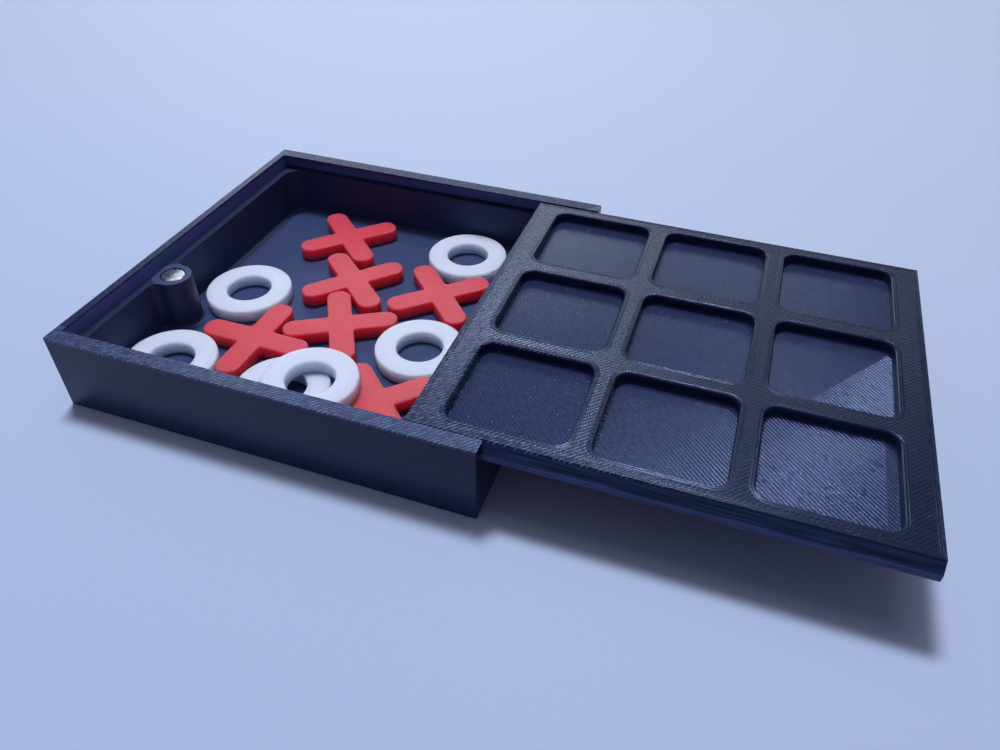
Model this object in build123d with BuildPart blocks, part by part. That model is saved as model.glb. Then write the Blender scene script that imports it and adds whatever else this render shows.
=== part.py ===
from build123d import *
import os
from math import cos, radians, sin, sqrt

# Tic-tac-toe travel box, 3D printed, with its board as a sliding lid.
# Millimetres. The origin is the centre of the tray's underside and +Z is up.
# +X is the way the lid slides out, and the magnet post stands at the -X end.

# Playing pieces
piece_thickness = 3.6
piece_edge_break = 0.4
o_diameter = 22.0
o_bore = 11.4
x_span = 28.6
x_arm_width = 6.2
x_tip_flat = 0.4
x_crotch_radius = 0.6

# Board cells, sunk into the lid's top
cell_room = 3.1
cell_depth = 2.5
cell_corner = 3.0
cell_rim_break = 0.3
rib_width = 4.7
side_margin = 3.3
end_margin = 6.25

# Lid edges and the grooves that they run in
lid_thickness = 3.8
lid_lip_height = 1.6
lid_flare = 1.7
lid_side_gap = 0.35
lid_end_gap = 0.2
lid_drop = 0.2
lid_engaged = 16.4

# Tray
box_height = 19.2
rim_wall = 2.0
outer_corner = 0.5
ledge_width = 2.0
floor_thickness = 2.0
cavity_corner = 4.5
floor_fillet = 1.0

# Magnet post and the two disc magnets, one in the post and one in the lid
magnet_diameter = 6.0
magnet_thickness = 2.0
magnet_edge_break = 0.25
magnet_recess = 0.1
pocket_gap = 0.05
post_wall = 1.6
post_blend = 2.0
magnet_from_end = 4.0

# How the pieces lie in the tray: least gaps, then each cross's turn in degrees
arm_gap = 0.25
ring_gap = 0.1
wall_gap = 0.15
x_1_turn = -44
x_2_turn = -42
x_3_turn = 30
x_4_turn = -1
x_5_turn = 43
x_6_turn = 46

# How much further a piece lies from its neighbour than those gaps, along and across
# the first arm of the cross in that pair
x_1_slack = (3.75, 0.2)
x_2_slack = (0.0, 0.0)
x_3_slack = (0.65, 0.0)
x_5_slack = (0.0, 0.5)
o_2_from_wall = 0.45
o_3_from_o_4 = 3.9

# A ring beside an arm's tip: its centre past the tip, and how far it tucks in behind
o_1_at_tip = (3.15, 0.9)
o_4_at_tip = (4.3, 1.5)
o_6_at_tip = (3.4, 0.35)
x_6_at_tip = (1.95, 0.6)

# The ring that lies on top of another one
o_5_overhang = 7.2
o_5_direction = 11.5

# Sizes that follow
x_tip_radius = (x_arm_width - x_tip_flat) / 2
x_tip_corner = x_span / 2 - x_tip_radius
x_square = 2 * ((x_tip_corner + x_tip_flat / 2) / sqrt(2) + x_tip_radius)
cell_size = max(o_diameter, x_square) + cell_room
cell_pitch = cell_size + rib_width
grid_span = cell_size + 2 * cell_pitch
lid_length = grid_span + 2 * end_margin
lid_top_width = grid_span + 2 * side_margin
lid_bottom_width = lid_top_width + 2 * lid_flare
groove_bottom_width = lid_bottom_width + 2 * lid_side_gap
groove_top_width = groove_bottom_width - 2 * lid_flare
box_width = groove_bottom_width + 2 * rim_wall
box_length = lid_length + lid_end_gap + rim_wall
cavity_width = box_width - 2 * (rim_wall + ledge_width)
cavity_length = box_length - 2 * (rim_wall + ledge_width)
lid_top = box_height - lid_drop
ledge_height = lid_top - lid_thickness
lip_top = ledge_height + lid_lip_height
lid_left = box_length / 2 - lid_engaged
lid_closed_left = -box_length / 2 + rim_wall + lid_end_gap
lid_centre = lid_left + lid_length / 2

# The magnets meet under the rib between two rows of cells when the lid is shut
magnet_y = -cell_pitch / 2
post_magnet_x = lid_closed_left + magnet_from_end
lid_magnet_x = lid_left + magnet_from_end
pocket_radius = magnet_diameter / 2 + pocket_gap
pocket_depth = magnet_thickness + magnet_recess
post_radius = magnet_diameter / 2 + post_wall
lid_magnet_bottom = ledge_height + magnet_recess
post_magnet_bottom = ledge_height - pocket_depth


def shifted(place, turn, along, across):
    """A place moved along a direction in degrees, and across it to the left."""
    x, y = place
    direction = radians(turn)
    return (
        x + along * cos(direction) - across * sin(direction),
        y + along * sin(direction) + across * cos(direction),
    )


# Where the pieces lie. A ring nests in the fork between two arms of a cross or stands
# beside an arm's tip, and a cross pushes the tip of one arm into the fork of the next.
o_radius = o_diameter / 2
fork_room = x_arm_width + arm_gap
ring_room = x_arm_width / 2 + o_radius + ring_gap
x_half = x_span / 2
left_wall = -cavity_length / 2 + floor_fillet + wall_gap
near_wall = -cavity_width / 2 + floor_fillet + wall_gap
far_wall = cavity_width / 2 - floor_fillet - wall_gap

o_2 = (left_wall + o_radius, near_wall + o_2_from_wall + o_radius)
x_4 = shifted(o_2, x_4_turn, ring_room, ring_room)
o_1 = shifted(x_4, x_4_turn, o_1_at_tip[1] - ring_room, x_half + o_1_at_tip[0])

x_3_tip = shifted(x_4, x_4_turn, fork_room + x_3_slack[0], fork_room + x_3_slack[1])
x_3 = shifted(x_3_tip, x_3_turn, x_tip_corner, 0)
x_3_far_tip = shifted(x_3, x_3_turn, 0, x_tip_corner)
x_2 = shifted(x_3_far_tip, x_2_turn, -fork_room - x_2_slack[0], fork_room + x_2_slack[1])
x_2_tip = shifted(x_2, x_2_turn, -x_tip_corner, 0)
x_1 = shifted(x_2_tip, x_1_turn, -fork_room - x_1_slack[0], fork_room + x_1_slack[1])

o_4 = shifted(x_3, x_3_turn, x_half + o_4_at_tip[0], o_4_at_tip[1] - ring_room)
x_6 = shifted(o_4, x_6_turn, -x_half - x_6_at_tip[0], x_6_at_tip[1] - ring_room)
o_6 = shifted(x_6, x_6_turn, -x_half - o_6_at_tip[0], ring_room - o_6_at_tip[1])
o_5 = shifted(o_6, o_5_direction, o_5_overhang, 0)
o_3 = (o_4[0] - o_3_from_o_4, far_wall - o_radius)
x_5 = shifted(o_3, x_5_turn, -ring_room - x_5_slack[0], -ring_room - x_5_slack[1])

floor_level = floor_thickness
second_level = floor_thickness + piece_thickness
x_places = [
    (x_1, x_1_turn),
    (x_2, x_2_turn),
    (x_3, x_3_turn),
    (x_4, x_4_turn),
    (x_5, x_5_turn),
    (x_6, x_6_turn),
]
o_places = [
    (o_1, floor_level),
    (o_2, floor_level),
    (o_3, floor_level),
    (o_4, floor_level),
    (o_5, second_level),
    (o_6, floor_level),
]


def edge_profile(bottom_width, top_width, bottom, lip, top):
    """The section across the slide: a square lip below, then flanks that lean inwards."""
    half_bottom = bottom_width / 2
    half_top = top_width / 2
    return [
        (-half_bottom, bottom),
        (half_bottom, bottom),
        (half_bottom, lip),
        (half_top, top),
        (-half_top, top),
        (-half_bottom, lip),
    ]


# Tray: one print, with an undercut groove down each side and a shelf that the lid runs on
with BuildPart() as tray:
    with BuildSketch():
        RectangleRounded(box_length, box_width, outer_corner)
    extrude(amount=box_height)

    # Cavity, with the magnet post left standing against the end wall
    with BuildSketch(Plane.XY.offset(floor_thickness)) as cavity:
        RectangleRounded(cavity_length, cavity_width, cavity_corner)
        with Locations((post_magnet_x, magnet_y)):
            Circle(post_radius, mode=Mode.SUBTRACT)
        post_roots = cavity.vertices().sort_by_distance((-cavity_length / 2, magnet_y, 0))[:2]
        fillet(post_roots, radius=post_blend)
    extrude(amount=ledge_height - floor_thickness, mode=Mode.SUBTRACT)
    floor_edges = tray.edges().filter_by_position(Axis.Z, floor_thickness, floor_thickness)
    fillet(floor_edges, radius=floor_fillet)

    # Groove for the lid, closed at the -X end and open at the +X end
    with BuildSketch(Plane.YZ.offset(-box_length / 2 + rim_wall)):
        with BuildLine():
            groove = edge_profile(
                groove_bottom_width,
                groove_top_width,
                ledge_height,
                lip_top + lid_drop,
                box_height,
            )
            Polyline(*groove, close=True)
        make_face()
    extrude(amount=box_length - rim_wall, mode=Mode.SUBTRACT)

    # Pocket for the magnet, in the top of the post
    with BuildSketch(Plane.XY.offset(ledge_height)):
        with Locations((post_magnet_x, magnet_y)):
            Circle(pocket_radius)
    extrude(amount=-pocket_depth, mode=Mode.SUBTRACT)
tray.part.label = "tray"


# Lid: the board itself, pulled most of the way out
with BuildPart() as lid_board:
    with BuildSketch(Plane.YZ.offset(lid_left)):
        with BuildLine():
            lid_edge = edge_profile(
                lid_bottom_width, lid_top_width, ledge_height, lip_top, lid_top
            )
            Polyline(*lid_edge, close=True)
        make_face()
    extrude(amount=lid_length)

    # Nine cells in three rows
    with BuildSketch(Plane.XY.offset(lid_top)):
        with Locations((lid_centre, 0)):
            with GridLocations(cell_pitch, cell_pitch, 3, 3):
                RectangleRounded(cell_size, cell_size, cell_corner)
    extrude(amount=-cell_depth, mode=Mode.SUBTRACT)
    board_face = lid_board.faces().sort_by(Axis.Z)[-1]
    chamfer(board_face.inner_wires().edges(), length=cell_rim_break)

    # Pocket for the magnet, up from the underside into the rib
    with BuildSketch(Plane.XY.offset(ledge_height)):
        with Locations((lid_magnet_x, magnet_y)):
            Circle(pocket_radius)
    extrude(amount=pocket_depth, mode=Mode.SUBTRACT)
lid_board.part.label = "lid_board"


# Disc magnets, one pressed into each pocket
with BuildPart() as tray_magnet:
    with BuildSketch(Plane.XY.offset(post_magnet_bottom)):
        with Locations((post_magnet_x, magnet_y)):
            Circle(magnet_diameter / 2)
    extrude(amount=magnet_thickness)
    chamfer(tray_magnet.edges().filter_by(GeomType.CIRCLE), length=magnet_edge_break)
tray_magnet.part.label = "tray_magnet"

with BuildPart() as lid_magnet:
    with BuildSketch(Plane.XY.offset(lid_magnet_bottom)):
        with Locations((lid_magnet_x, magnet_y)):
            Circle(magnet_diameter / 2)
    extrude(amount=magnet_thickness)
    chamfer(lid_magnet.edges().filter_by(GeomType.CIRCLE), length=magnet_edge_break)
lid_magnet.part.label = "lid_magnet"

finished = [tray, lid_board, tray_magnet, lid_magnet]


# Crosses: two bars at right angles, rounded at the arm tips and eased in the forks
for number, ((x, y), turn) in enumerate(x_places, start=1):
    lie = Plane(origin=(x, y, floor_level), x_dir=(cos(radians(turn)), sin(radians(turn)), 0))
    with BuildPart() as x_piece:
        with BuildSketch(lie) as cross:
            Rectangle(x_span, x_arm_width)
            Rectangle(x_arm_width, x_span)
            tips = cross.vertices().sort_by_distance((0, 0, 0))[4:]
            fillet(tips, radius=x_tip_radius)
            forks = cross.vertices().sort_by_distance((0, 0, 0))[:4]
            fillet(forks, radius=x_crotch_radius)
        extrude(amount=piece_thickness)
        flats = x_piece.faces().filter_by(Axis.Z)
        chamfer(flats.edges(), length=piece_edge_break)
    x_piece.part.label = f"x_piece_{number}"
    finished.append(x_piece)


# Rings
for number, ((x, y), level) in enumerate(o_places, start=1):
    with BuildPart() as o_piece:
        with BuildSketch(Plane((x, y, level))):
            Circle(o_diameter / 2)
            Circle(o_bore / 2, mode=Mode.SUBTRACT)
        extrude(amount=piece_thickness)
        flats = o_piece.faces().filter_by(Axis.Z)
        chamfer(flats.edges(), length=piece_edge_break)
    o_piece.part.label = f"o_piece_{number}"
    finished.append(o_piece)


os.makedirs("parts", exist_ok=True)
for piece in finished:
    export_step(piece.part, f"parts/{piece.part.label}.step")

print(f"box {box_length:.2f} x {box_width:.2f} x {box_height:.2f}, lid {lid_length:.2f} long")
print(f"cells {cell_size:.2f} at {cell_pitch:.2f}, cavity {cavity_length:.2f} x {cavity_width:.2f}")
print(f"lid travel from shut to rest {lid_left - lid_closed_left:.2f}, engaged {lid_engaged:.2f}")
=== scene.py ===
from math import pi, radians

import bpy
from mathutils import Matrix, Vector


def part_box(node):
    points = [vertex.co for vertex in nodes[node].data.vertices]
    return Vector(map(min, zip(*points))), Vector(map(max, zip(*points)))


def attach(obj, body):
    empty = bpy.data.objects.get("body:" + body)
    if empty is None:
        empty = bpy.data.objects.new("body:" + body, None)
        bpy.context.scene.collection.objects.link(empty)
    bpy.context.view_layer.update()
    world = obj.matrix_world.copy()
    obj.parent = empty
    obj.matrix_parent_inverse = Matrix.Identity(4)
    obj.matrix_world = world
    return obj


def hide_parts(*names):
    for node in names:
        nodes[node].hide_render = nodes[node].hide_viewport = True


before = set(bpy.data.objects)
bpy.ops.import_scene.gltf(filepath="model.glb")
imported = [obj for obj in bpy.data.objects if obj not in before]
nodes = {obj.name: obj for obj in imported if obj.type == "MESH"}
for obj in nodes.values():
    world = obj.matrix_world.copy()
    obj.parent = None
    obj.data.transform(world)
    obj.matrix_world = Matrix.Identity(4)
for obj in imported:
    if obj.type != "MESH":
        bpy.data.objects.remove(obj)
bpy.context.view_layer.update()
mm = 0.001


# Selecting, and finishing a mesh

straight = 0.9  # a face counts as facing along an axis from this cosine on
smoothAngle = 35


def clearSelection():
    if bpy.context.object and bpy.context.object.mode != "OBJECT":
        bpy.ops.object.mode_set(mode="OBJECT")
    bpy.ops.object.select_all(action="DESELECT")


def activate(piece):
    clearSelection()
    piece.select_set(True)
    bpy.context.view_layer.objects.active = piece


def startSelecting(kind):
    bpy.ops.object.mode_set(mode="EDIT")
    bpy.ops.mesh.select_mode(type=kind)
    bpy.ops.mesh.select_all(action="DESELECT")
    bpy.ops.object.mode_set(mode="OBJECT")


def selectFaces(piece, wanted):
    startSelecting("FACE")
    for face in piece.data.polygons:
        face.select = wanted(face)
    bpy.ops.object.mode_set(mode="EDIT")


def selectEdges(piece, wanted):
    startSelecting("EDGE")
    points = piece.data.vertices
    for edge in piece.data.edges:
        a, b = (points[i].co for i in edge.vertices)
        edge.select = wanted(a, b)
    bpy.ops.object.mode_set(mode="EDIT")


def isCap(face):
    return abs(face.normal.z) > straight


def smoothByAngle(piece, angle):
    activate(piece)
    bpy.ops.object.shade_smooth_by_angle(angle=radians(angle))
    weighted = piece.modifiers.new("flatFaces", "WEIGHTED_NORMAL")  # keeps large faces flat beside a bevel
    weighted.weight = 100
    weighted.keep_sharp = True
    bpy.ops.object.modifier_apply(modifier=weighted.name)


def dress(piece, body, slotName, material, *replaced):
    piece.data.materials.clear()
    piece.data.materials.append(material)
    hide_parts(*replaced)
    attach(piece, body)


# Shader helpers: a value is a number, a colour as three numbers, or another node's output

mixSockets = {"FLOAT": (0, 2, 3, 0), "RGBA": (0, 6, 7, 2)}  # where share, low, high and the result are
plainNoise, richNoise = 1.0, 3.0  # how much detail a noise has
lumpRange = (0.3, 0.7)  # nearly all of a noise lies between these


def newMaterial(name):
    material = bpy.data.materials.new(name)
    material.use_nodes = True
    tree = material.node_tree
    return material, tree, tree.nodes["Principled BSDF"]


def feed(tree, socket, value):
    if isinstance(value, tuple):
        socket.default_value = (*value, 1.0)
    elif isinstance(value, (int, float)):
        socket.default_value = value
    else:
        tree.links.new(value, socket)


def calc(tree, operation, *values):
    node = tree.nodes.new("ShaderNodeMath")
    node.operation = operation
    for socket, value in zip(node.inputs, values):
        feed(tree, socket, value)
    return node.outputs[0]


def product(tree, first, *others):
    for value in others:
        first = calc(tree, "MULTIPLY", first, value)
    return first


def lengthOf(tree, x, y):
    return calc(tree, "SQRT", calc(tree, "MULTIPLY_ADD", x, x, calc(tree, "MULTIPLY", y, y)))


def mixOf(tree, kind, share, low, high):
    node = tree.nodes.new("ShaderNodeMix")
    node.data_type = kind
    *places, result = mixSockets[kind]
    for place, value in zip(places, (share, low, high)):
        feed(tree, node.inputs[place], value)
    return node.outputs[result]


def blendOf(tree, share, low, high):
    return mixOf(tree, "FLOAT", share, low, high)


def tintBetween(tree, share, low, high):
    return mixOf(tree, "RGBA", share, low, high)


def scaledTint(tree, tint, factor):
    node = tree.nodes.new("ShaderNodeVectorMath")
    node.operation = "SCALE"
    tree.links.new(tint, node.inputs["Vector"])
    tree.links.new(factor, node.inputs["Scale"])
    return node.outputs["Vector"]


def ramp(tree, value, low, high, outLow=0.0, outHigh=1.0):
    node = tree.nodes.new("ShaderNodeMapRange")
    node.interpolation_type = "SMOOTHSTEP"
    tree.links.new(value, node.inputs["Value"])
    node.inputs["From Min"].default_value = low
    node.inputs["From Max"].default_value = high
    node.inputs["To Min"].default_value = outLow
    node.inputs["To Max"].default_value = outHigh
    return node.outputs["Result"]


edgeBlend = 0.02  # millimetres over which one zone of a print passes into the next


def above(tree, value, limit):
    return ramp(tree, value, limit - edgeBlend, limit)


def below(tree, value, limit):
    return ramp(tree, value, limit, limit + edgeBlend, 1.0, 0.0)


def noiseOf(tree, vector, scale, detail, stretch=None):
    if stretch:
        mapping = tree.nodes.new("ShaderNodeMapping")
        mapping.inputs["Scale"].default_value = stretch
        tree.links.new(vector, mapping.inputs["Vector"])
        vector = mapping.outputs["Vector"]
    node = tree.nodes.new("ShaderNodeTexNoise")
    node.inputs["Scale"].default_value = scale
    node.inputs["Detail"].default_value = detail
    tree.links.new(vector, node.inputs["Vector"])
    return node.outputs["Fac"]


def millimetresOf(tree, coordinates, centre=(0.0, 0.0, 0.0)):
    mapping = tree.nodes.new("ShaderNodeMapping")
    mapping.inputs["Scale"].default_value = (1 / mm, 1 / mm, 1 / mm)
    mapping.inputs["Location"].default_value = tuple(-c for c in centre)
    tree.links.new(coordinates, mapping.inputs["Vector"])
    return mapping.outputs["Vector"]


def objectMillimetres(tree, centre=(0.0, 0.0, 0.0)):
    coordinates = tree.nodes.new("ShaderNodeTexCoord")
    return millimetresOf(tree, coordinates.outputs["Object"], centre)


def axesOf(tree, vector):
    node = tree.nodes.new("ShaderNodeSeparateXYZ")
    tree.links.new(vector, node.inputs["Vector"])
    return node.outputs[0], node.outputs[1], node.outputs[2]


def flatVector(tree, x, y):
    node = tree.nodes.new("ShaderNodeCombineXYZ")
    tree.links.new(x, node.inputs[0])
    tree.links.new(y, node.inputs[1])
    return node.outputs[0]


def diagonals(tree, x, y):
    turned = 2 ** -0.5
    rising = calc(tree, "MULTIPLY", calc(tree, "SUBTRACT", y, x), turned)
    falling = calc(tree, "MULTIPLY", calc(tree, "ADD", y, x), turned)
    return rising, falling


def bumpOnto(tree, shader, height, distance):
    bump = tree.nodes.new("ShaderNodeBump")
    bump.inputs["Strength"].default_value = 1.0
    bump.inputs["Distance"].default_value = distance
    tree.links.new(height, bump.inputs["Height"])
    tree.links.new(bump.outputs["Normal"], shader.inputs["Normal"])


# Printed beads, in millimetres: each has its own small height, and every second one stands a little higher.
# A pair of numbers under "beads" in a pattern is the seed and how uneven the beads are.

beads = {
    "width": 0.377,
    "layer": 0.2,
    "wave": 0.22,  # how high each bead stands, and every second one
    "pair": 0.38,
    "lumpScale": 0.9,
    "lumpsAlong": 0.55,
    "loops": 1.26,  # the loops along an edge reach this far in
    "loopBlend": 0.06,
    "drawn": 0.15,  # on the walls the lumps are drawn out along the layers
    "calm": (0.3, 0.35),  # spread and middle of the walls' lumps
}


def beadPairs(tree, across):
    return calc(tree, "SINE", calc(tree, "MULTIPLY", across, pi / beads["width"]))


def beadHeight(tree, across, along, seed, uneven):
    wave = calc(tree, "SINE", calc(tree, "MULTIPLY", across, 2 * pi / beads["width"]))
    number = calc(tree, "FLOOR", calc(tree, "DIVIDE", across, beads["width"]))
    number = calc(tree, "ADD", number, seed)
    place = flatVector(tree, number, calc(tree, "MULTIPLY", along, beads["lumpsAlong"]))
    lumps = noiseOf(tree, place, beads["lumpScale"], plainNoise)
    height = calc(tree, "MULTIPLY", wave, beads["wave"])
    height = calc(tree, "MULTIPLY_ADD", beadPairs(tree, across), beads["pair"], height)
    return calc(tree, "MULTIPLY_ADD", lumps, uneven, height), lumps


def layerHeight(tree, x, y, z, seed, uneven):
    across = calc(tree, "MULTIPLY", z, beads["width"] / beads["layer"])
    along = calc(tree, "MULTIPLY", calc(tree, "ADD", x, y), beads["drawn"])
    height, lumps = beadHeight(tree, across, along, seed, uneven)
    return height, lumps, calc(tree, "MULTIPLY_ADD", lumps, *beads["calm"])


# Lamps and world: a soft box high up, behind and to the left, under a wide ceiling and a low cool fill.
# The soft boxes light without a glint, and the glint boxes are seen in the gloss alone and cast no shadow.

lighting = {
    "tint": (0.85, 0.915, 1.0),
    "fill": 0.21,  # the world's strength on matt surfaces, and then in the gloss
    "shine": 0.20,
    "fillTint": (0.72, 0.74, 0.96),
    "background": (0.50, 0.57, 0.80),
}
softBoxes = {
    "overhead": {"place": (-0.17, 0.235, 1.14), "aim": (0.04, 0.0, 0.0), "size": (0.24, 0.18), "power": 13.0},
    "ceiling": {"place": (0.0, 0.12, 1.20), "aim": (0.0, 0.0, 0.0), "size": (0.80, 0.56), "power": 2.0},
}
glintBoxes = {
    "farWall": {"place": (-0.50, 1.00, 0.50), "aim": (0.0, 0.15, 0.0), "size": (0.90, 0.50), "power": 3.6},
    "behind": {"place": (0.075, 0.36, 0.66), "aim": (0.07, 0.0, 0.0), "size": (0.09, 0.07), "power": 2.7},
    "horizon": {"place": (0.12, 1.20, 0.61), "aim": (0.07, 0.0, 0.0), "size": (0.50, 0.25), "power": 0.7},
}


def placeLamps():
    for name, box in (softBoxes | glintBoxes).items():
        lamp = bpy.data.lights.new(name, "AREA")
        lamp.shape = "RECTANGLE"
        lamp.size, lamp.size_y = box["size"]
        lamp.energy = box["power"]
        lamp.color = lighting["tint"]
        holder = bpy.data.objects.new(name, lamp)
        bpy.context.scene.collection.objects.link(holder)
        place, aim = Vector(box["place"]), Vector(box["aim"])
        holder.location = place
        holder.rotation_euler = (aim - place).to_track_quat("-Z", "Y").to_euler()
        holder.visible_diffuse = name in softBoxes
        holder.visible_glossy = name in glintBoxes
    print("lamps placed")


def paintWorld():
    world = bpy.data.worlds.new("room")
    bpy.context.scene.world = world
    world.use_nodes = True
    tree = world.node_tree
    surface = tree.nodes["Background"]
    path = tree.nodes.new("ShaderNodeLightPath")
    shown = tintBetween(tree, path.outputs["Is Camera Ray"], lighting["fillTint"], lighting["background"])
    tree.links.new(shown, surface.inputs["Color"])
    seen = blendOf(tree, path.outputs["Is Glossy Ray"], lighting["fill"], lighting["shine"])
    seen = blendOf(tree, path.outputs["Is Camera Ray"], seen, 1.0)
    tree.links.new(seen, surface.inputs["Strength"])
    print("world painted")


floorLook = {
    "size": 5.0,
    "drop": 0.00005,  # keeps it just under the tray
    "front": (0.405, 0.458, 0.64),
    "back": (0.475, 0.53, 0.655),
    "fade": (-0.16, 0.34),  # painted light: the floor grows lighter towards the back, from the front colour to the back one
    "farFade": (0.18, 0.80),  # here the floor takes the backdrop's colour, for the camera only
    "roughness": 0.6,
    "gloss": 0.2,
}


def layFloor():
    clearSelection()
    bpy.ops.mesh.primitive_plane_add(size=floorLook["size"], location=(0, 0, -floorLook["drop"]))
    floor = bpy.context.object
    floor.name = "tableTop"
    material, tree, shader = newMaterial("tableTop")
    coordinates = tree.nodes.new("ShaderNodeTexCoord")
    x, y, _ = axesOf(tree, coordinates.outputs["Object"])
    # painted light: lighter towards the back
    paint = tintBetween(tree, ramp(tree, y, *floorLook["fade"]), floorLook["front"], floorLook["back"])
    away = ramp(tree, lengthOf(tree, x, y), *floorLook["farFade"])
    paint = scaledTint(tree, paint, calc(tree, "SUBTRACT", 1.0, away))
    tree.links.new(paint, shader.inputs["Base Color"])
    path = tree.nodes.new("ShaderNodeLightPath")
    shader.inputs["Emission Color"].default_value = (*lighting["background"], 1.0)
    glow = calc(tree, "MULTIPLY", away, path.outputs["Is Camera Ray"])
    tree.links.new(glow, shader.inputs["Emission Strength"])
    shader.inputs["Roughness"].default_value = floorLook["roughness"]
    shader.inputs["Specular IOR Level"].default_value = floorLook["gloss"]
    floor.data.materials.append(material)
    print("floor laid")


cameraSetup = {
    "place": (0.085473, -0.143724, 0.125393),
    "right": (0.94493, 0.32693, 0.01493),
    "up": (-0.22487, 0.61543, 0.75544),
    "back": (0.23778, -0.71719, 0.65505),
    "lens": 28.18,
    "sensor": 36.0,
    "nearest": 0.005,
}


def placeCamera():
    lens = bpy.data.cameras.new("camera")
    lens.lens = cameraSetup["lens"]
    lens.sensor_width = cameraSetup["sensor"]
    lens.clip_start = cameraSetup["nearest"]
    holder = bpy.data.objects.new("camera", lens)
    bpy.context.scene.collection.objects.link(holder)
    axes = Matrix((cameraSetup["right"], cameraSetup["up"], cameraSetup["back"])).transposed()
    holder.matrix_world = Matrix.Translation(cameraSetup["place"]) @ axes.to_4x4()
    bpy.context.scene.camera = holder
    bpy.context.scene.view_settings.view_transform = "Standard"
    print("camera placed")


# The case print: dark blue plastic with a few specks of dust, with painted glint dashes and painted light and
# shade by zone

casePlastic = {
    "dark": (0.0070, 0.0105, 0.036),
    "light": (0.0120, 0.0170, 0.050),
    "dust": (0.25, 0.275, 0.37),
    # painted light: the lighter colour mixed in for painted glints and painted fill light
    "paintedLightTint": (0.120, 0.153, 0.300),
    "lumpShare": 0.6,
    "mottleShare": 0.5,
    "mottleScale": 0.09,
    "roughness": (0.23, 0.31),
    "matte": 0.50,  # roughness of the tray's inside
    "glossyAndSheen": 0.55,  # share of the roughness that the glossy fields keep
    "glossyRise": 3.4,  # and how much higher their beads stand
    "gloss": 0.38,
    "shineTint": (0.44, 0.60, 1.0),
    "beadDepth": 0.00004,
}
dust = {"scale": 0.6, "spread": 0.05, "least": 0.03, "chosen": (0.84, 0.97)}  # a lower pair gives more specks
glintDashes = {
    "ridges": (-0.1, 0.9),
    "breakScale": 1.0,
    "breakStretch": (1.6, 0.7, 1.0),
    "breaks": (0.36, 0.60),  # a lower pair gives longer dashes
    "patchScale": 0.35,
    "patches": (0.30, 0.62, 0.45, 0.85),  # the last two are how light the faint and the strong patches are
}


def dustOn(tree, vector, facingUp):
    cells = tree.nodes.new("ShaderNodeTexVoronoi")
    cells.voronoi_dimensions = "2D"
    cells.inputs["Scale"].default_value = dust["scale"]
    tree.links.new(vector, cells.inputs["Vector"])
    colour = tree.nodes.new("ShaderNodeSeparateColor")
    tree.links.new(cells.outputs["Color"], colour.inputs[0])
    size = calc(tree, "MULTIPLY_ADD", colour.outputs[1], dust["spread"], dust["least"])
    speck = calc(tree, "LESS_THAN", cells.outputs["Distance"], size)
    return product(tree, speck, ramp(tree, colour.outputs[0], *dust["chosen"]), facingUp)


def glintDashesOn(tree, across, along, share):
    # painted glints: short light dashes along the ridges of the top layer's beads
    place = flatVector(tree, across, along)
    ridges = ramp(tree, beadPairs(tree, across), *glintDashes["ridges"])
    breaks = noiseOf(tree, place, glintDashes["breakScale"], plainNoise, glintDashes["breakStretch"])
    patches = noiseOf(tree, place, glintDashes["patchScale"], plainNoise)
    breaks, patches = ramp(tree, breaks, *glintDashes["breaks"]), ramp(tree, patches, *glintDashes["patches"])
    return product(tree, ridges, breaks, patches, share)


def finishCase(tree, shader, vector, height, lumps, tone, facingUp, paintedLight, glossyAndSheen=None, matte=None):
    look = casePlastic
    mottled = noiseOf(tree, vector, look["mottleScale"], richNoise)
    mottled = calc(tree, "MULTIPLY", mottled, look["mottleShare"])
    share = calc(tree, "MULTIPLY_ADD", lumps, look["lumpShare"], mottled)
    # the tone paints each zone's light and shade, and the next mix paints glints and fill light in a lighter
    # colour
    tint = scaledTint(tree, tintBetween(tree, share, look["dark"], look["light"]), tone)
    tint = tintBetween(tree, paintedLight, tint, look["paintedLightTint"])
    tint = tintBetween(tree, dustOn(tree, vector, facingUp), tint, look["dust"])
    tree.links.new(tint, shader.inputs["Base Color"])
    low, high = look["roughness"]
    roughness = ramp(tree, lumps, *lumpRange, high, low)
    if glossyAndSheen is not None:
        roughness = blendOf(tree, glossyAndSheen, roughness, calc(tree, "MULTIPLY", roughness, look["glossyAndSheen"]))
        height = calc(tree, "MULTIPLY", height, blendOf(tree, glossyAndSheen, 1.0, look["glossyRise"]))
    if matte is not None:
        roughness = blendOf(tree, matte, roughness, look["matte"])
    tree.links.new(roughness, shader.inputs["Roughness"])
    shader.inputs["Specular IOR Level"].default_value = look["gloss"]
    shader.inputs["Specular Tint"].default_value = (*look["shineTint"], 1.0)
    bumpOnto(tree, shader, height, look["beadDepth"])


# The lid's print, in millimetres from the board's centre: its top is hatched one way, its cells the other

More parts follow.
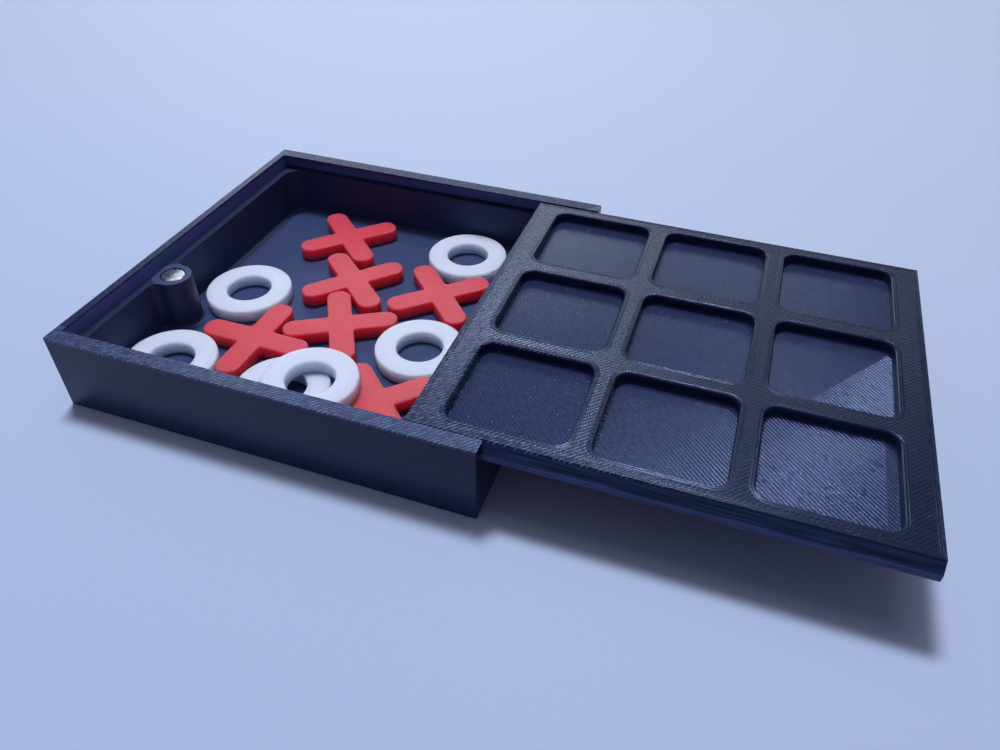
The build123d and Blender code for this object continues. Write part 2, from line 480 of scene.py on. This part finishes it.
lidPattern = {
    "centre": (82.51, 0.0, 0.0),
    "halfLength": 48.9,
    "halfWidth": 45.95,
    "pitch": 30.005,
    "cellHalf": 12.65,
    "cellCorner": 3.0,
    "topFrom": 18.7,  # heights above the table
    "cellFloorTo": 16.75,
    "lip": (16.8, 16.9),
    # painted light and shade: each zone of the print gets its own brightness, the lip far lighter than the
    # slant, the top darker than the cell floors, and the glossy fields lighter still as painted sheen
    "tones": {"top": 0.7, "cellFloor": 1.4, "glossyAndSheen": 1.6, "cellWall": 0.8, "slant": 1.2, "lip": 3.4},
    "stripes": (0.45, 1.5),  # the sides' tone changes from layer to layer
    "beads": {"top": (11.0, 0.5), "cells": (47.0, 0.5), "loops": (83.0, 0.6), "layers": (5.0, 0.5)},
    "layerRise": 0.8,
    "cellRise": 0.62,
    "glintX": (-46.0, -8.0, 1.0, 0.0),  # from, to, and how strong the painted glints are at both
    "glintY": (-34.0, 20.0, 1.0, 0.25),
    "nearMargin": -44.0,
    "marginX": (-34.0, 26.0, 1.0, 0.0),
    "glossEnd": 10.6,  # the first glossy field stops short of its cell's right wall
    "glossSlope": 1.33,  # the line along which the second one begins
    "glossShift": 44.7,
    "glossSecond": 0.5,  # it is half as glossy
    # painted glints: how strong the light streaks on the glossy fields are
    "glintStreaks": 1.6,
    "glintRidges": (0.1, 0.95),
    "glintBreaks": (0.22, 0.56),
    "dustOnTop": 0.35,
    "dustOffGlossy": 0.6,
}


def roundedSquareDistance(tree, u, v, half, corner):
    u = calc(tree, "SUBTRACT", calc(tree, "ABSOLUTE", u), half - corner)
    v = calc(tree, "SUBTRACT", calc(tree, "ABSOLUTE", v), half - corner)
    outside = lengthOf(tree, calc(tree, "MAXIMUM", u, 0.0), calc(tree, "MAXIMUM", v, 0.0))
    inside = calc(tree, "MINIMUM", calc(tree, "MAXIMUM", u, v), 0.0)
    return calc(tree, "SUBTRACT", calc(tree, "ADD", outside, inside), corner)


def fromNearestCell(tree, value, pitch):
    step = calc(tree, "ROUND", calc(tree, "DIVIDE", value, pitch))
    step = calc(tree, "MAXIMUM", calc(tree, "MINIMUM", step, 1.0), -1.0)
    return calc(tree, "SUBTRACT", value, calc(tree, "MULTIPLY", step, pitch))


def glossyAndSheenCells(tree, x, y, u):
    # the near right cell, and half of the one behind it along a diagonal, were printed glossier; they also
    # get a lighter painted sheen and painted glint streaks
    half = lidPattern["pitch"] / 2
    lastColumn = calc(tree, "GREATER_THAN", x, half)
    firstRow = calc(tree, "LESS_THAN", y, -half)
    middleRow = calc(tree, "LESS_THAN", calc(tree, "ABSOLUTE", y), half)
    beforeEnd = calc(tree, "LESS_THAN", u, lidPattern["glossEnd"])
    slope = calc(tree, "MULTIPLY", x, lidPattern["glossSlope"])
    belowSlope = calc(tree, "GREATER_THAN", calc(tree, "SUBTRACT", slope, y), lidPattern["glossShift"])
    first = calc(tree, "MULTIPLY", firstRow, beforeEnd)
    second = product(tree, middleRow, belowSlope, lidPattern["glossSecond"])
    return calc(tree, "MULTIPLY", lastColumn, calc(tree, "ADD", first, second))


def lidMaterial():
    look, tones, seeds = lidPattern, lidPattern["tones"], lidPattern["beads"]
    material, tree, shader = newMaterial("lidPrint")
    vector = objectMillimetres(tree, look["centre"])
    x, y, z = axesOf(tree, vector)
    rising, falling = diagonals(tree, x, y)

    # how far a point lies from the nearest cell and from the board's edges
    u = fromNearestCell(tree, x, look["pitch"])
    v = fromNearestCell(tree, y, look["pitch"])
    fromCell = roundedSquareDistance(tree, u, v, look["cellHalf"], look["cellCorner"])
    endEdge = calc(tree, "SUBTRACT", look["halfLength"], calc(tree, "ABSOLUTE", x))
    sideEdge = calc(tree, "SUBTRACT", look["halfWidth"], calc(tree, "ABSOLUTE", y))
    depth = calc(tree, "MINIMUM", fromCell, calc(tree, "MINIMUM", endEdge, sideEdge))

    onTop = above(tree, z, look["topFrom"])
    inCell = below(tree, fromCell, -edgeBlend)
    onFloor = calc(tree, "MULTIPLY", below(tree, z, look["cellFloorTo"]), inCell)
    onLip = ramp(tree, z, *look["lip"], 1.0, 0.0)
    loopEdge, blend = beads["loops"], beads["loopBlend"]
    inLoops = ramp(tree, depth, loopEdge - blend, loopEdge + blend, 1.0, 0.0)
    glossyAndSheen = calc(tree, "MULTIPLY", onFloor, glossyAndSheenCells(tree, x, y, u))

    topHatch, topLumps = beadHeight(tree, rising, falling, *seeds["top"])
    cellHatch, cellLumps = beadHeight(tree, falling, rising, *seeds["cells"])
    loops, loopLumps = beadHeight(tree, depth, calc(tree, "ADD", x, y), *seeds["loops"])
    layers, layerLumps, calmLumps = layerHeight(tree, x, y, z, *seeds["layers"])
    top = blendOf(tree, inLoops, topHatch, loops)
    height = blendOf(tree, onTop, calc(tree, "MULTIPLY", layers, look["layerRise"]), top)
    height = blendOf(tree, onFloor, height, calc(tree, "MULTIPLY", cellHatch, look["cellRise"]))
    lumps = blendOf(tree, onTop, calmLumps, blendOf(tree, inLoops, topLumps, loopLumps))
    lumps = blendOf(tree, onFloor, lumps, cellLumps)

    # painted light and shade: the brightness of each zone
    edge = blendOf(tree, onLip, tones["slant"], tones["lip"])
    sides = blendOf(tree, inCell, edge, tones["cellWall"])
    sides = calc(tree, "MULTIPLY", sides, ramp(tree, layerLumps, *lumpRange, *look["stripes"]))
    tone = blendOf(tree, onTop, sides, tones["top"])
    tone = blendOf(tree, onFloor, tone, blendOf(tree, glossyAndSheen, tones["cellFloor"], tones["glossyAndSheen"]))

    # painted glints: light dashes towards the near left, and along the near margin
    corner = product(tree, ramp(tree, x, *look["glintX"]), ramp(tree, y, *look["glintY"]))
    margin = calc(tree, "LESS_THAN", y, look["nearMargin"])
    margin = calc(tree, "MULTIPLY", margin, ramp(tree, x, *look["marginX"]))
    glintShare = calc(tree, "MULTIPLY", onTop, calc(tree, "MAXIMUM", corner, margin))
    # painted glints: light streaks along the bead ridges of the glossy fields
    glintRidges = ramp(tree, beadPairs(tree, falling), *look["glintRidges"])
    glintBreaks = ramp(tree, cellLumps, *look["glintBreaks"])
    glintStreaks = product(tree, glintRidges, glintBreaks, look["glintStreaks"], glossyAndSheen)
    paintedLight = calc(tree, "MAXIMUM", glintDashesOn(tree, rising, falling, glintShare), glintStreaks)

    clean = calc(tree, "SUBTRACT", onFloor, calc(tree, "MULTIPLY", glossyAndSheen, look["dustOffGlossy"]))
    facingUp = calc(tree, "MULTIPLY_ADD", onTop, look["dustOnTop"], clean)
    finishCase(tree, shader, vector, height, lumps, tone, facingUp, paintedLight, glossyAndSheen)
    return material


# The tray's print, in millimetres: loops on the rims, a hatched near rim and floor, and a duller inside

trayPattern = {
    "outside": 50.007,
    "skin": (0.2, 0.6),  # the inside begins this far behind the outer faces
    "rimFrom": 18.7,
    "nearRim": -45.0,
    "cavityFloorTo": 2.05,
    "wallUpTo": 3.0,
    "ledgeFrom": 15.02,
    "ledgeTo": 15.3,
    "grooveDepth": 1.2,
    "postPlace": (-43.81, -15.0),
    "postRadius": 4.9,
    "outsideFade": (1.0, 15.0, 1.8, 0.62),  # painted light: the outer walls' tone, lighter at the foot and darker higher up, from the foot up
    # painted light and shade: each zone of the print gets its own brightness, the inside, floor and post top
    # lighter than the rim, and the groove far lighter as painted fill light
    "tones": {"rim": 1.3, "floor": 2.0, "ledge": 1.0, "post": 1.6, "wall": 2.0, "groove": 8.0},
    "paintedLightShares": {"rim": 0.14, "post": 0.22, "floor": 0.09, "wall": 0.08},  # shares of the painted light colour: painted glints on the near rim, painted fill light on the post, floor and inner walls
    "beads": {"rim": (57.0, 0.5), "loops": (71.0, 0.9), "floor": (31.0, 0.9), "layers": (9.0, 0.3)},
    "layerRise": 0.25,
}


def trayMaterial():
    look, tones, paintedLightShares = trayPattern, trayPattern["tones"], trayPattern["paintedLightShares"]
    seeds = trayPattern["beads"]
    material, tree, shader = newMaterial("trayPrint")
    vector = objectMillimetres(tree)
    x, y, z = axesOf(tree, vector)
    rising, falling = diagonals(tree, x, y)
    ends = calc(tree, "SUBTRACT", look["outside"], calc(tree, "ABSOLUTE", x))
    sides = calc(tree, "SUBTRACT", look["outside"], calc(tree, "ABSOLUTE", y))
    depth = calc(tree, "MINIMUM", ends, sides)

    onRim = above(tree, z, look["rimFrom"])
    nearSide = calc(tree, "LESS_THAN", y, look["nearRim"])
    onNearRim = calc(tree, "MULTIPLY", onRim, nearSide)
    onFloor = below(tree, z, look["cavityFloorTo"])
    onFloor = calc(tree, "MULTIPLY", onFloor, calc(tree, "GREATER_THAN", depth, look["wallUpTo"]))
    onLedge = calc(tree, "MULTIPLY", above(tree, z, look["ledgeFrom"]), below(tree, z, look["ledgeTo"]))
    postX, postY = look["postPlace"]
    fromPost = lengthOf(tree, calc(tree, "SUBTRACT", x, postX), calc(tree, "SUBTRACT", y, postY))
    onPost = calc(tree, "MULTIPLY", calc(tree, "LESS_THAN", fromPost, look["postRadius"]), onLedge)
    inGroove = calc(tree, "GREATER_THAN", z, look["ledgeTo"])
    inGroove = calc(tree, "MULTIPLY", inGroove, calc(tree, "GREATER_THAN", depth, look["grooveDepth"]))
    behindSkin = ramp(tree, depth, *look["skin"])
    inside = calc(tree, "MULTIPLY", behindSkin, calc(tree, "SUBTRACT", 1.0, onRim))

    floorHatch, floorLumps = beadHeight(tree, rising, falling, *seeds["floor"])
    rimHatch, rimLumps = beadHeight(tree, rising, falling, *seeds["rim"])
    loops, loopLumps = beadHeight(tree, depth, calc(tree, "ADD", x, y), *seeds["loops"])
    layers, _, calmLumps = layerHeight(tree, x, y, z, *seeds["layers"])
    rim = blendOf(tree, nearSide, loops, rimHatch)
    height = blendOf(tree, onRim, calc(tree, "MULTIPLY", layers, look["layerRise"]), rim)
    height = blendOf(tree, onFloor, height, floorHatch)
    lumps = blendOf(tree, onRim, calmLumps, blendOf(tree, nearSide, loopLumps, rimLumps))
    lumps = blendOf(tree, onFloor, lumps, floorLumps)

    # painted light and shade: the brightness of each zone
    tone = blendOf(tree, behindSkin, ramp(tree, z, *look["outsideFade"]), tones["wall"])
    tone = blendOf(tree, inGroove, tone, tones["groove"])
    tone = blendOf(tree, onLedge, tone, tones["ledge"])
    tone = blendOf(tree, onPost, tone, tones["post"])
    tone = blendOf(tree, onRim, tone, tones["rim"])
    tone = blendOf(tree, onFloor, tone, tones["floor"])

    # painted glints on the near rim, and painted fill light mixed into the post, floor and inner walls
    paintedLight = glintDashesOn(tree, rising, falling, onNearRim)
    for zone, grey in ((onNearRim, "rim"), (onPost, "post"), (onFloor, "floor"), (inside, "wall")):
        paintedLight = calc(tree, "MULTIPLY_ADD", zone, paintedLightShares[grey], paintedLight)
    facingUp = calc(tree, "MAXIMUM", onRim, onFloor)
    finishCase(tree, shader, vector, height, lumps, tone, facingUp, paintedLight, matte=inside)
    return material


# Crosses and rings: glowing plastic whose beads follow the outline, read from the piece's own flat map

piecePlastic = {
    "lumpShare": 0.5,
    "mottleShare": 0.5,
    "mottleScale": 0.35,
    "roughness": (0.44, 0.54),
    "gloss": 0.5,
    "glow": 1.0,  # how much light goes through the plastic
    "beadDepth": 0.000012,
    "beads": {"outline": (3.0, 0.9), "hatch": (17.0, 0.6)},
    "hatchShare": 0.5,
    "hatchRise": 2.6,
}
crossLook = {
    "dark": (0.61, 0.045, 0.070),
    "light": (0.69, 0.060, 0.090),
    "glowRadius": (1.0, 0.30, 0.30),
    "glowScale": 0.0085,
}
ringLook = {
    "dark": (0.59, 0.625, 0.77),
    "light": (0.64, 0.68, 0.825),
    "glowRadius": (1.0, 0.95, 0.85),
    "glowScale": 0.0060,
}
pieceCount = 6


def pieceMaterial(name, tint, followOutline, hatchedWithin=0.0):
    look, seeds = piecePlastic, piecePlastic["beads"]
    material, tree, shader = newMaterial(name)
    flat = tree.nodes.new("ShaderNodeUVMap")
    flat.uv_map = "flatMap"
    x, y, _ = axesOf(tree, millimetresOf(tree, flat.outputs["UV"]))
    outline = followOutline(tree, x, y)
    height, lumps = beadHeight(tree, outline, calc(tree, "ADD", x, y), *seeds["outline"])
    if hatchedWithin:  # the side that was printed last shows its hatch inside the outline
        hatch, hatchLumps = beadHeight(tree, y, x, *seeds["hatch"])
        hatchLumps = calc(tree, "MULTIPLY_ADD", hatch, look["hatchShare"], hatchLumps)
        filled = calc(tree, "LESS_THAN", outline, hatchedWithin)
        height = calc(tree, "MULTIPLY", blendOf(tree, filled, height, hatch), look["hatchRise"])
        lumps = blendOf(tree, filled, lumps, hatchLumps)
    mottled = noiseOf(tree, objectMillimetres(tree), look["mottleScale"], richNoise)
    mottled = calc(tree, "MULTIPLY", mottled, look["mottleShare"])
    share = calc(tree, "MULTIPLY_ADD", lumps, look["lumpShare"], mottled)
    tree.links.new(tintBetween(tree, share, tint["dark"], tint["light"]), shader.inputs["Base Color"])
    low, high = look["roughness"]
    tree.links.new(ramp(tree, lumps, *lumpRange, high, low), shader.inputs["Roughness"])
    shader.inputs["Specular IOR Level"].default_value = look["gloss"]
    shader.inputs["Subsurface Weight"].default_value = look["glow"]
    shader.inputs["Subsurface Radius"].default_value = tint["glowRadius"]
    shader.inputs["Subsurface Scale"].default_value = tint["glowScale"]
    bumpOnto(tree, shader, height, look["beadDepth"])
    return material


def mapFlat(piece):
    layer = piece.data.uv_layers.new(name="flatMap")
    points = piece.data.vertices
    for loop in piece.data.loops:
        layer.data[loop.index].uv = points[loop.vertex_index].co.xy


def roundOutline(piece, radius, steps):
    # the outline is every edge between a flat cap and an upright wall
    bpy.ops.object.mode_set(mode="OBJECT")
    facesAlong = {}
    for face in piece.data.polygons:
        for key in face.edge_keys:
            facesAlong.setdefault(tuple(sorted(key)), []).append(isCap(face))
    rims = {key for key, caps in facesAlong.items() if sorted(caps) == [False, True]}
    startSelecting("EDGE")
    for edge in piece.data.edges:
        edge.select = tuple(sorted(edge.vertices)) in rims
    bpy.ops.object.mode_set(mode="EDIT")
    bpy.ops.mesh.bevel(offset=radius * mm, segments=steps, affect="EDGES")
    bpy.ops.object.mode_set(mode="OBJECT")


def placeCopies(pattern, family, shape, material, turns, others):
    for number in range(1, pieceCount + 1):
        name = f"{family}_piece_{number}"
        low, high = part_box(name)
        piece = pattern.copy()
        piece.data = pattern.data.copy()
        piece.name = f"{shape}{number}"
        bpy.context.scene.collection.objects.link(piece)
        turn = Matrix.Rotation(radians(turns.get(number, 0)), 4, "Z")
        piece.data.transform(Matrix.Translation((low + high) / 2) @ turn)
        dress(piece, name, f"{shape}_print", others.get(number, material), name)
    bpy.data.objects.remove(pattern)


cross = {
    "span": 28.6,
    "arm": 6.2,
    "thickness": 3.6,
    "tip": (2.9, 10),  # radius and steps of each round
    "fork": (0.6, 4),
    "edge": (0.45, 4),
}
crossTurns = {1: -44, 2: -42, 3: 30, 4: -1, 5: 43, 6: 46}  # degrees, as they lie in the tray
hatchedCross = {"number": 6, "within": 2.2}  # the one that lies with its hatched side up


def alongCross(tree, x, y):
    x, y = calc(tree, "ABSOLUTE", x), calc(tree, "ABSOLUTE", y)
    across, outward = calc(tree, "MINIMUM", x, y), calc(tree, "MAXIMUM", x, y)
    past = calc(tree, "SUBTRACT", outward, (cross["span"] - cross["arm"]) / 2)
    return lengthOf(tree, across, calc(tree, "MAXIMUM", past, 0.0))


def bevelEdges(piece, wanted, size):
    radius, steps = size
    selectEdges(piece, wanted)
    bpy.ops.mesh.bevel(offset=radius * mm, segments=steps, affect="EDGES")


def modelCross():
    clearSelection()
    arm, reach = cross["arm"] * mm, (cross["span"] - cross["arm"]) / 2 * mm
    bpy.ops.mesh.primitive_cube_add(size=1, scale=(arm, arm, cross["thickness"] * mm))
    piece = bpy.context.object
    piece.name = "crossPattern"
    bpy.ops.object.transform_apply(location=True, rotation=True, scale=True)
    nearAxis, tipsFrom, forksWithin = 0.1 * arm, 2 * arm, 0.6 * arm
    for direction in ((1, 0, 0), (-1, 0, 0), (0, 1, 0), (0, -1, 0)):
        way = Vector(direction)

        def atEnd(face):
            return face.normal.dot(way) > straight and face.center.cross(way).length < nearAxis

        selectFaces(piece, atEnd)
        bpy.ops.mesh.extrude_region_move(TRANSFORM_OT_translate={"value": way * reach})

    def upright(a, b):
        return abs(a.z - b.z) > mm

    def atTip(a, b):
        return upright(a, b) and max(abs(a.x), abs(a.y)) > tipsFrom

    def atFork(a, b):
        return upright(a, b) and max(abs(a.x), abs(a.y)) < forksWithin

    bevelEdges(piece, atTip, cross["tip"])
    bevelEdges(piece, atFork, cross["fork"])
    roundOutline(piece, *cross["edge"])
    return piece


ring = {"across": 22.0, "bore": 11.4, "thickness": 3.6, "sides": 96, "edge": (0.45, 4)}


def modelRing():
    clearSelection()
    bpy.ops.mesh.primitive_cylinder_add(
        vertices=ring["sides"], radius=ring["across"] / 2 * mm, depth=ring["thickness"] * mm
    )
    piece = bpy.context.object
    piece.name = "ringPattern"
    selectFaces(piece, isCap)
    wall = (ring["across"] - ring["bore"]) / 2 * mm
    bpy.ops.mesh.inset(thickness=wall, use_individual=True)
    bpy.ops.mesh.bridge_edge_loops()
    roundOutline(piece, *ring["edge"])
    return piece


def makePieces():
    pattern = modelCross()
    mapFlat(pattern)
    smoothByAngle(pattern, smoothAngle)
    plain = pieceMaterial("crossPrint", crossLook, alongCross)
    hatched = pieceMaterial("crossPrintHatched", crossLook, alongCross, hatchedCross["within"])
    placeCopies(pattern, "x", "cross", plain, crossTurns, {hatchedCross["number"]: hatched})
    pattern = modelRing()
    mapFlat(pattern)
    smoothByAngle(pattern, smoothAngle)
    placeCopies(pattern, "o", "ring", pieceMaterial("ringPrint", ringLook, lengthOf), {}, {})
    print("crosses and rings placed")


magnet = {"across": 6.0, "thickness": 2.0, "sides": 64, "edge": 0.45, "edgeSteps": 4}
nickel = {
    "dark": (0.58, 0.60, 0.66),
    "light": (0.72, 0.74, 0.79),
    "patchScale": 1.3,
    "roughness": (0.24, 0.36),
    "patchDepth": 0.00002,
}


def nickelMaterial():
    material, tree, shader = newMaterial("magnetNickel")
    shader.inputs["Metallic"].default_value = 1.0
    patches = noiseOf(tree, objectMillimetres(tree), nickel["patchScale"], richNoise)
    tree.links.new(tintBetween(tree, patches, nickel["dark"], nickel["light"]), shader.inputs["Base Color"])
    tree.links.new(ramp(tree, patches, *lumpRange, *nickel["roughness"]), shader.inputs["Roughness"])
    bumpOnto(tree, shader, patches, nickel["patchDepth"])
    return material


def makeMagnets():
    material = nickelMaterial()
    for body in ("tray", "lid"):
        node = f"{body}_magnet"
        low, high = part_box(node)
        clearSelection()
        bpy.ops.mesh.primitive_cylinder_add(
            vertices=magnet["sides"],
            radius=magnet["across"] / 2 * mm,
            depth=magnet["thickness"] * mm,
            location=(low + high) / 2,
        )
        piece = bpy.context.object
        piece.name = f"{body}Magnet"
        bpy.ops.object.transform_apply(location=True, rotation=True, scale=True)
        selectFaces(piece, isCap)
        bpy.ops.mesh.bevel(offset=magnet["edge"] * mm, segments=magnet["edgeSteps"], affect="EDGES")
        bpy.ops.object.mode_set(mode="OBJECT")
        smoothByAngle(piece, smoothAngle)
        dress(piece, body, "magnet_nickel", material, node)
    print("magnets placed")


# Tray and lid: copies of their nodes, whose printed edges each get a fine round

casePiece = {
    "merge": 0.001,
    "flatWithin": 0.4,
    "edge": 0.14,
    "edgeSteps": 2,
    "sharpFrom": 40,
    "smoothAngle": 30,
}


def makeCasePiece(node, body, name, material):
    source = nodes[node]
    piece = source.copy()
    piece.data = source.data.copy()
    for key in list(piece.keys()):
        del piece[key]
    piece.parent = None
    piece.name = name
    bpy.context.scene.collection.objects.link(piece)
    activate(piece)
    bpy.ops.object.mode_set(mode="EDIT")
    bpy.ops.mesh.customdata_custom_splitnormals_clear()
    bpy.ops.mesh.select_all(action="SELECT")
    bpy.ops.mesh.remove_doubles(threshold=casePiece["merge"] * mm)
    bpy.ops.mesh.dissolve_limited(angle_limit=radians(casePiece["flatWithin"]))
    bpy.ops.object.mode_set(mode="OBJECT")
    bevel = piece.modifiers.new("roundEdges", "BEVEL")
    bevel.width = casePiece["edge"] * mm
    bevel.segments = casePiece["edgeSteps"]
    bevel.limit_method = "ANGLE"
    bevel.angle_limit = radians(casePiece["sharpFrom"])
    bpy.ops.object.modifier_apply(modifier=bevel.name)
    smoothByAngle(piece, casePiece["smoothAngle"])
    dress(piece, body, "case_print", material, node)
    print(name, len(piece.data.polygons), "faces")


placeCamera()
placeLamps()
paintWorld()
layFloor()
makeCasePiece("tray", "tray", "trayBox", trayMaterial())
makeCasePiece("lid_board", "lid", "lidBoard", lidMaterial())
makePieces()
makeMagnets()
